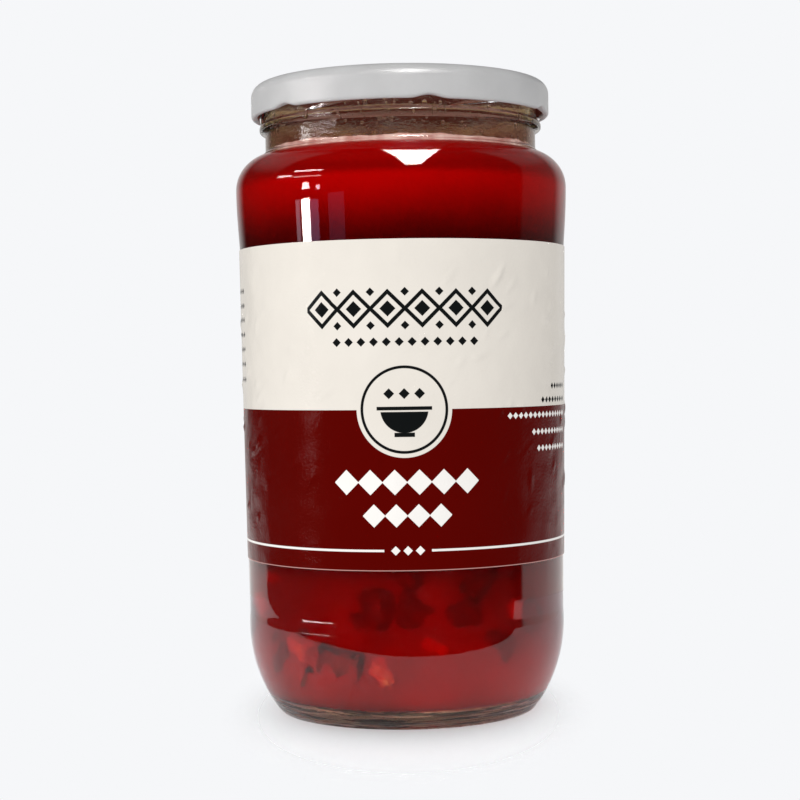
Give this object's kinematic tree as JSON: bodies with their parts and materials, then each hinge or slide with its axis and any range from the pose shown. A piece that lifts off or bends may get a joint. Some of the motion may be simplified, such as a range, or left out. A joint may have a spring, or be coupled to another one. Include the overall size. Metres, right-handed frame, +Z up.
{
  "type": "glass jar of borscht soup",
  "caption": "Shut clear glass jar of dark red borscht, with a silver twist-off cap and a cream and maroon wrap-round label.",
  "frame": {"origin": "middle of the ring that the jar stands on, at table height", "axes": "+Z up the jar's axis, with the middle of the label facing -Y and the label's seam at +Y"},
  "size_m": [0.0984, 0.0984, 0.1855],
  "materials": {
    "glass": "clear, glossy, faint green",
    "soup": "dark red liquid with sunken vegetable pieces",
    "label": "semi-gloss printed paper, cream over maroon",
    "cap": "satin silver lacquer"
  },
  "bodies": {
    "root": {"glass_jar": "glass", "soup": "soup", "label": "label", "cap": "cap"}
  },
  "joints": []
}
